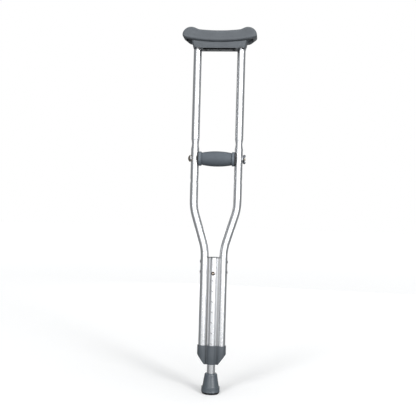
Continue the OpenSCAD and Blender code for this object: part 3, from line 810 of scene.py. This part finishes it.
hub = turned("hub", [(-70 * mm, 8.05 * mm), (70 * mm, 8.05 * mm)], around=64)
lay_along_x(hub, (0, 0, grip_z))
cut(rubber_grip, hub)
for side in (-1, 1):
    tube_room_profile = [(grip_z - 30 * mm, tube_room_r), (grip_z + 30 * mm, tube_room_r)]
    tube_room = turned("tube_room", tube_room_profile, around=96)
    tube_room.location = (side * grip_x, 0, 0)
    settle(tube_room)
    cut(rubber_grip, tube_room)
    hub_room = turned("hub_room", [(43 * mm, 16.05 * mm), (70 * mm, 16.05 * mm)], around=64)
    lay_along_x(hub_room, (0, 0, grip_z), flip=side < 0)
    cut(rubber_grip, hub_room)
smooth(rubber_grip, 35)
grip_light, grip_dark = (0.084, 0.099, 0.116), (0.070, 0.084, 0.100)
collar_light, collar_dark = (0.120, 0.139, 0.160), (0.102, 0.120, 0.140)
barrel_skin = grained_rubber("grip_rubber", grip_light, grip_dark, cell=700, depth=0.08)
collar_skin = grained_rubber(
    "collar_rubber", collar_light, collar_dark, cell=700, depth=0.05, rough=(0.36, 0.46)
)
coat(rubber_grip, barrel_skin)
rubber_grip.data.materials.append(collar_skin)
for face in rubber_grip.data.polygons:
    off_axis = math.hypot(face.center.y, face.center.z - grip_z)
    if abs(face.center.x) > collar_in + 1 * mm and off_axis > neck_r:
        face.material_index = 1
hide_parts("handgrip")
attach(rubber_grip, "grip")

# ---- Handgrip core and end saddles ----
# Inside the grip runs a plastic tube for the bolt. A black moulded end piece with a domed flange
# straddles each upright, so that the grip can't turn.
black_light, black_dark = (0.016, 0.017, 0.019), (0.009, 0.010, 0.011)
black_plastic = moulded_plastic("black_plastic", black_light, black_dark, rough=(0.35, 0.5))
dress("grip_core", black_plastic)
dress("left_grip_saddle", black_plastic)
dress("right_grip_saddle", black_plastic)

# ---- Grip bolt, washers and wing nut ----
# A zinc-plated bolt with a large domed head passes through both uprights and the grip, and its end is
# brightened with a painted highlight. Curved washers bear on the tubes, and a cast wing nut closes it on the
# right.
bolt_light, bolt_dark = (0.60, 0.55, 0.47), (0.20, 0.15, 0.09)
yellow_zinc = plated("yellow_zinc_plate", bolt_light, bolt_dark, rough=(0.10, 0.22), grain=260)
# Painted highlight: the bolt's end beyond 70 mm is brightened 1.6 times, for the white studio reflection on
# it.
painted_light_band(yellow_zinc, "X", 70 * mm, 72 * mm, 1.6)
dress("grip_bolt", yellow_zinc)
dress("grip_washers", zinc)
nut_foot_x = 72.8 * mm
hub_profile = [(0, 6.2 * mm), (0.8 * mm, 6.2 * mm), (2.4 * mm, 4.9 * mm)]
hub_profile += [(2.9 * mm, 4.3 * mm), (3.0 * mm, 3.8 * mm)]
nut_hub = turned("nut_hub", hub_profile, around=64)
lay_along_x(nut_hub, (nut_foot_x, 0, grip_z))
nut_parts = [nut_hub]
for side in (-1, 1):
    deselect()
    bpy.ops.mesh.primitive_uv_sphere_add(segments=32, ring_count=20, radius=1)
    wing = bpy.context.object
    wing.scale = (3.9 * mm, 1.7 * mm, 4.3 * mm)
    wing.rotation_euler = (0, math.radians(side * 22), 0)
    wing.location = (75.4 * mm, 0, grip_z + side * 8.6 * mm)
    settle(wing)
    nut_parts.append(wing)
    root = block("root", (73.4 * mm, -1.2 * mm, 0), (75.9 * mm, 1.2 * mm, 5.5 * mm))
    root.location = (0, 0, grip_z + (3.2 * mm if side > 0 else -8.7 * mm))
    settle(root)
    nut_parts.append(root)
wing_nut = join("cast_wing_nut", nut_parts)
cast = wing_nut.modifiers.new("cast", "REMESH")
cast.mode = "VOXEL"
cast.voxel_size = 0.35 * mm
bpy.ops.object.modifier_apply(modifier=cast.name)
fettle = wing_nut.modifiers.new("fettle", "SMOOTH")
fettle.factor = 0.5
fettle.iterations = 5
bpy.ops.object.modifier_apply(modifier=fettle.name)
bolt_room = turned("bolt_room", [(70 * mm, 3.2 * mm), (85 * mm, 3.2 * mm)], around=48)
lay_along_x(bolt_room, (0, 0, grip_z))
cut(wing_nut, bolt_room)
smooth(wing_nut, 40)
coat(wing_nut, plated("cast_zinc", (0.19, 0.2, 0.22), (0.05, 0.055, 0.06), rough=(0.25, 0.42), grain=900))
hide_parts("wing_nut")
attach(wing_nut, "nut")

# ---- Leg and its top bush ----
# The telescoping leg is the same satin aluminium tube. A black bush closes its top end inside the sleeve.
dress("leg_tube", drawn_aluminium("satin_leg_tube", along=20, around=1400, rough=(0.26, 0.30)))
dress("leg_top_bush", black_plastic)

# ---- Snap button and its spring ----
# A domed brass button stands out through the sleeve, on a bent spring-steel strip inside the leg. Painted
# shade darkens the button outside its light middle, for the shaded edge of the sleeve's hole round it.
brass_with_painted_shade = plated("brass_with_painted_shade", (0.86, 0.78, 0.70), (0.60, 0.50, 0.42), rough=(0.16, 0.3), grain=900)
button_nodes, button_links = brass_with_painted_shade.node_tree.nodes, brass_with_painted_shade.node_tree.links
button_shader = button_nodes["Principled BSDF"]
button_skin = button_shader.inputs["Base Color"].links[0].from_socket
# Painted shade: from 1.4 to 2.5 mm out from the button's axis its colour turns dark brown, for the shaded
# edge of the hole.
button_place = button_nodes.new("ShaderNodeMapping")
button_place.inputs["Location"].default_value = (0, 0, -top_hole_z)
button_place.inputs["Scale"].default_value = (1, 0, 1)
button_reach = button_nodes.new("ShaderNodeVectorMath")
button_reach.operation = "LENGTH"
button_shade_ring = button_nodes.new("ShaderNodeMapRange")
button_shade_ring.inputs["From Min"].default_value = 1.4 * mm
button_shade_ring.inputs["From Max"].default_value = 2.5 * mm
button_shade_mix = button_nodes.new("ShaderNodeMix")
button_shade_mix.data_type = "RGBA"
button_shade_mix.inputs["B"].default_value = (0.060, 0.036, 0.024, 1)
button_links.new(button_nodes.new("ShaderNodeTexCoord").outputs["Object"], button_place.inputs["Vector"])
button_links.new(button_place.outputs["Vector"], button_reach.inputs[0])
button_links.new(button_reach.outputs["Value"], button_shade_ring.inputs["Value"])
button_links.new(button_shade_ring.outputs["Result"], button_shade_mix.inputs["Factor"])
button_links.new(button_skin, button_shade_mix.inputs["A"])
button_links.new(button_shade_mix.outputs["Result"], button_shader.inputs["Base Color"])
dress("snap_button", brass_with_painted_shade)
spring_strip = eased_copy("bent_spring_strip", "button_spring", 0.1 * mm)
coat(spring_strip, plated("spring_steel", (0.5, 0.5, 0.52), (0.32, 0.32, 0.34)))
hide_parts("button_spring")
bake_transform(spring_strip)

# ---- Crutch tip and its washer ----
# A moulded rubber ferrule: a soft-shouldered cone on a heavy base ring, pushed on over the leg's end, with a
# sole cut by rings of tread. Its bottom chamfer and sole are painted near-black as painted shade and painted
# contact shadow. A steel washer inside keeps the leg from punching through the rubber.
base_r, top_r, tip_top, bore_r = 25.4 * mm, 17.35 * mm, 55 * mm, 11.15 * mm
skirt = [(0, 22.4 * mm), (1.5 * mm, 23.3 * mm), (3.6 * mm, 24.3 * mm), (4.9 * mm, 24.6 * mm)]
skirt += [(5.0 * mm, 25.0 * mm)]
skirt += [(5.5 * mm, 25.3 * mm), (6.2 * mm, base_r), (7.0 * mm, 25.3 * mm), (7.6 * mm, 25.15 * mm)]
skirt += [(12 * mm, 25.1 * mm), (17.4 * mm, 24.9 * mm)]
skirt += arc(18.2 * mm, 24.0 * mm, 0.9 * mm, 0, 85, 4)
skirt += [(19.2 * mm, 23.2 * mm), (19.2 * mm, 22.6 * mm), (19.8 * mm, 22.35 * mm), (22 * mm, 22.0 * mm)]
skirt += [(30 * mm, 20.7 * mm), (40 * mm, 19.1 * mm), (49 * mm, 17.6 * mm)]
skirt += arc(51 * mm, top_r - 4 * mm, 4 * mm, 5, 88, 8)
skirt += [(tip_top, bore_r + 0.9 * mm), (tip_top - 0.5 * mm, bore_r), (12 * mm, bore_r)]
rubber_tip = turned("rubber_tip", skirt, around=128)
for tread_r in (8 * mm, 14 * mm):
    groove = turned("groove", [(-1 * mm, tread_r + 2 * mm), (1.2 * mm, tread_r + 2 * mm)], around=96)
    cut(groove, turned("land", [(-2 * mm, tread_r), (2 * mm, tread_r)], around=96))
    cut(rubber_tip, groove)
deselect()
bpy.ops.mesh.primitive_uv_sphere_add(segments=64, ring_count=32, radius=1)
dimple = bpy.context.object
dimple.scale = (5 * mm, 1.4 * mm, 1.9 * mm)
dimple.location = (0, -base_r, 10.5 * mm)
settle(dimple)
cut(rubber_tip, dimple)
smooth(rubber_tip, 35)
tip_light, tip_dark = (0.083, 0.098, 0.113), (0.069, 0.083, 0.097)
# Painted shade: faces below 5.4 mm, the bottom chamfer and the sole, are near-black for the shade under the
# tip and its contact shadow.
sole_shade_light, sole_shade_dark = (0.012, 0.012, 0.013), (0.006, 0.006, 0.007)
sole_shade_top = 5.4 * mm
tip_skin = grained_rubber("tip_rubber", tip_light, tip_dark, cell=1100, depth=0.01, rough=(0.20, 0.28))
tip_skin.node_tree.nodes["Principled BSDF"].inputs["Specular IOR Level"].default_value = 0.75
coat(rubber_tip, tip_skin)
sole_shade_skin = grained_rubber("sole_painted_shade", sole_shade_light, sole_shade_dark, cell=900, depth=0.06)
rubber_tip.data.materials.append(sole_shade_skin)
for face in rubber_tip.data.polygons:
    if face.center.z < sole_shade_top:
        face.material_index = 1
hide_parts("crutch_tip")
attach(rubber_tip, "leg")
dress("tip_washer", zinc)
